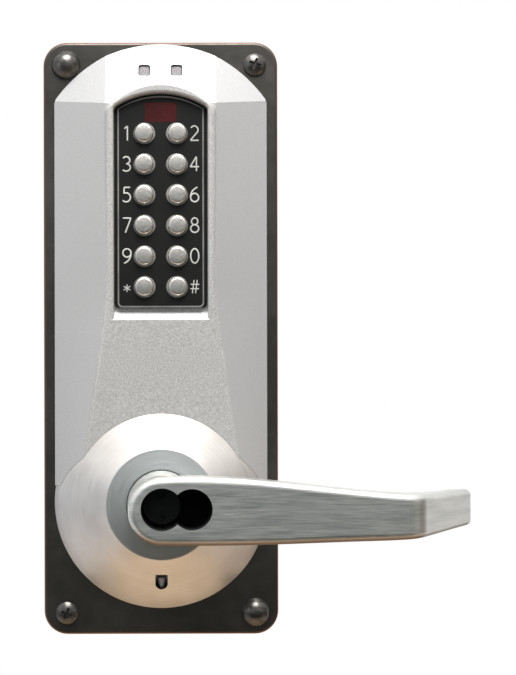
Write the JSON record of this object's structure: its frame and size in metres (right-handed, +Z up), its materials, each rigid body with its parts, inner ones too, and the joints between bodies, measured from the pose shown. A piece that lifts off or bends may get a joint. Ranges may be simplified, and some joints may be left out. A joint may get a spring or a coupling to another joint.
{
  "type": "keypad smart lock trim",
  "caption": "Outside door-lock trim with keypad, arched silver housing on a black back plate, conical rose and a lever handle with an interchangeable-core pocket.",
  "frame": {"origin": "on the lever's turning axis, in the plane of the door's face", "axes": "+Y into the door along the lever's axis, +Z up the back plate, +X along the lever as it rests"},
  "size_m": [0.1774, 0.1051, 0.2528],
  "materials": {
    "gasket_rubber": "matte black rubber",
    "mat_rubber": "grey silicone",
    "black_paint": "semi-gloss black powder coat, worn brownish at its edges",
    "black_bolt": "glossy black oxide",
    "silver_paint": "fine-grained satin silver paint",
    "zinc_screw": "zinc-plated steel",
    "zinc_cast": "bare zinc casting",
    "black_plastic": "satin black plastic",
    "trim_line": "light grey moulded line",
    "red_window": "dark red infrared window",
    "lens_plastic": "milky clear plastic",
    "board_green": "green solder mask",
    "white_nylon": "natural nylon",
    "satin_rose": "satin chrome",
    "satin_lever": "brushed satin chrome",
    "key_metal": "satin nickel plating",
    "spring_steel": "blued spring steel",
    "brass_part": "machined brass"
  },
  "bodies": {
    "trim": {"door_gasket": "gasket_rubber", "back_plate": "black_paint", "dome_bolts": "black_bolt", "trim_screws": "black_bolt", "housing": "silver_paint", "housing_screws": "zinc_screw", "keypad_seal": "gasket_rubber", "faceplate": "black_plastic", "faceplate_trim": "trim_line", "signal_window": "red_window", "led_lens_left": "lens_plastic", "led_lens_right": "lens_plastic", "key_return_mat": "mat_rubber", "circuit_board": "board_green", "board_screws": "zinc_screw", "tact_switches": "black_plastic", "led_emitters": "lens_plastic", "infrared_module": "black_plastic", "board_chips": "black_plastic", "beeper": "black_plastic", "harness_connector": "white_nylon", "rose": "satin_rose", "rose_bushing": "white_nylon", "catch_bracket": "spring_steel", "catch_spring": "spring_steel", "spring_cage": "zinc_cast", "cage_cover": "zinc_cast", "cage_screws": "zinc_screw", "cover_screws": "zinc_screw", "lever_return_spring": "spring_steel", "clutch_motor": "zinc_cast", "motor_bracket": "spring_steel", "spindle_bushing": "brass_part", "chassis_hub": "zinc_cast", "hub_screws": "zinc_screw"},
    "lever": {"lever_handle": "satin_lever", "lever_drive_tube": "zinc_screw", "lever_cam": "zinc_cast"},
    "spindle": {"spindle": "zinc_screw", "spindle_clip": "spring_steel"},
    "clutch_sleeve": {"clutch_sleeve": "brass_part"},
    "clutch_fork": {"clutch_fork": "spring_steel"},
    "lead_screw": {"lead_screw": "zinc_screw"},
    "rose_catch": {"rose_catch": "spring_steel"},
    "core_driver": {"core_driver": "black_bolt", "core_driver_clip": "spring_steel"},
    "key_1": {"key_1": "key_metal"},
    "key_2": {"key_2": "key_metal"},
    "key_3": {"key_3": "key_metal"},
    "key_4": {"key_4": "key_metal"},
    "key_5": {"key_5": "key_metal"},
    "key_6": {"key_6": "key_metal"},
    "key_7": {"key_7": "key_metal"},
    "key_8": {"key_8": "key_metal"},
    "key_9": {"key_9": "key_metal"},
    "key_0": {"key_0": "key_metal"},
    "key_star": {"key_star": "key_metal"},
    "key_hash": {"key_hash": "key_metal"}
  },
  "joints": [
    {"name": "lever_turn", "type": "hinge", "parent": "trim", "child": "lever", "pos_m": [0, 0, 0], "axis": [0, 1, 0], "range_deg": [-50, 50], "stiffness_Nm_per_rad": 1.5, "springref_deg": -5.92, "deforming": ["lever_return_spring"]},
    {"name": "spindle_turn", "type": "hinge", "parent": "trim", "child": "spindle", "pos_m": [0, 0, 0], "axis": [0, 1, 0], "range_deg": [-50, 50]},
    {"name": "core_driver_turn", "type": "hinge", "parent": "lever", "child": "core_driver", "pos_m": [0, 0, 0], "axis": [0, 1, 0], "range_deg": [0, 90]},
    {"name": "fork_slide", "type": "slide", "parent": "trim", "child": "clutch_fork", "axis": [0, 1, 0], "range_m": [0, 0.003]},
    {"name": "sleeve_slide", "type": "slide", "parent": "spindle", "child": "clutch_sleeve", "axis": [0, 1, 0], "range_m": [0, 0.003]},
    {"name": "screw_spin", "type": "hinge", "parent": "trim", "child": "lead_screw", "pos_m": [0, 0, 0.029], "axis": [0, 1, 0], "range_deg": [0, 1081]},
    {"name": "catch_press", "type": "slide", "parent": "trim", "child": "rose_catch", "axis": [0, 0.7071, 0.7071], "range_m": [0, 0.0012], "stiffness_N_per_m": 400, "deforming": ["catch_spring"]},
    {"name": "press_1", "type": "slide", "parent": "trim", "child": "key_1", "axis": [0, 1, 0], "range_m": [0, 0.0008], "stiffness_N_per_m": 400, "deforming": ["key_return_mat"]},
    {"name": "press_2", "type": "slide", "parent": "trim", "child": "key_2", "axis": [0, 1, 0], "range_m": [0, 0.0008], "stiffness_N_per_m": 400, "deforming": ["key_return_mat"]},
    {"name": "press_3", "type": "slide", "parent": "trim", "child": "key_3", "axis": [0, 1, 0], "range_m": [0, 0.0008], "stiffness_N_per_m": 400, "deforming": ["key_return_mat"]},
    {"name": "press_4", "type": "slide", "parent": "trim", "child": "key_4", "axis": [0, 1, 0], "range_m": [0, 0.0008], "stiffness_N_per_m": 400, "deforming": ["key_return_mat"]},
    {"name": "press_5", "type": "slide", "parent": "trim", "child": "key_5", "axis": [0, 1, 0], "range_m": [0, 0.0008], "stiffness_N_per_m": 400, "deforming": ["key_return_mat"]},
    {"name": "press_6", "type": "slide", "parent": "trim", "child": "key_6", "axis": [0, 1, 0], "range_m": [0, 0.0008], "stiffness_N_per_m": 400, "deforming": ["key_return_mat"]},
    {"name": "press_7", "type": "slide", "parent": "trim", "child": "key_7", "axis": [0, 1, 0], "range_m": [0, 0.0008], "stiffness_N_per_m": 400, "deforming": ["key_return_mat"]},
    {"name": "press_8", "type": "slide", "parent": "trim", "child": "key_8", "axis": [0, 1, 0], "range_m": [0, 0.0008], "stiffness_N_per_m": 400, "deforming": ["key_return_mat"]},
    {"name": "press_9", "type": "slide", "parent": "trim", "child": "key_9", "axis": [0, 1, 0], "range_m": [0, 0.0008], "stiffness_N_per_m": 400, "deforming": ["key_return_mat"]},
    {"name": "press_0", "type": "slide", "parent": "trim", "child": "key_0", "axis": [0, 1, 0], "range_m": [0, 0.0008], "stiffness_N_per_m": 400, "deforming": ["key_return_mat"]},
    {"name": "press_star", "type": "slide", "parent": "trim", "child": "key_star", "axis": [0, 1, 0], "range_m": [0, 0.0008], "stiffness_N_per_m": 400, "deforming": ["key_return_mat"]},
    {"name": "press_hash", "type": "slide", "parent": "trim", "child": "key_hash", "axis": [0, 1, 0], "range_m": [0, 0.0008], "stiffness_N_per_m": 400, "deforming": ["key_return_mat"]}
  ],
  "couplings": [
    {"joint": "spindle_turn", "follows": "lever_turn", "ratio": 1},
    {"joint": "sleeve_slide", "follows": "fork_slide", "ratio": 1},
    {"joint": "screw_spin", "follows": "fork_slide", "rad_per_m": 6283.2}
  ]
}
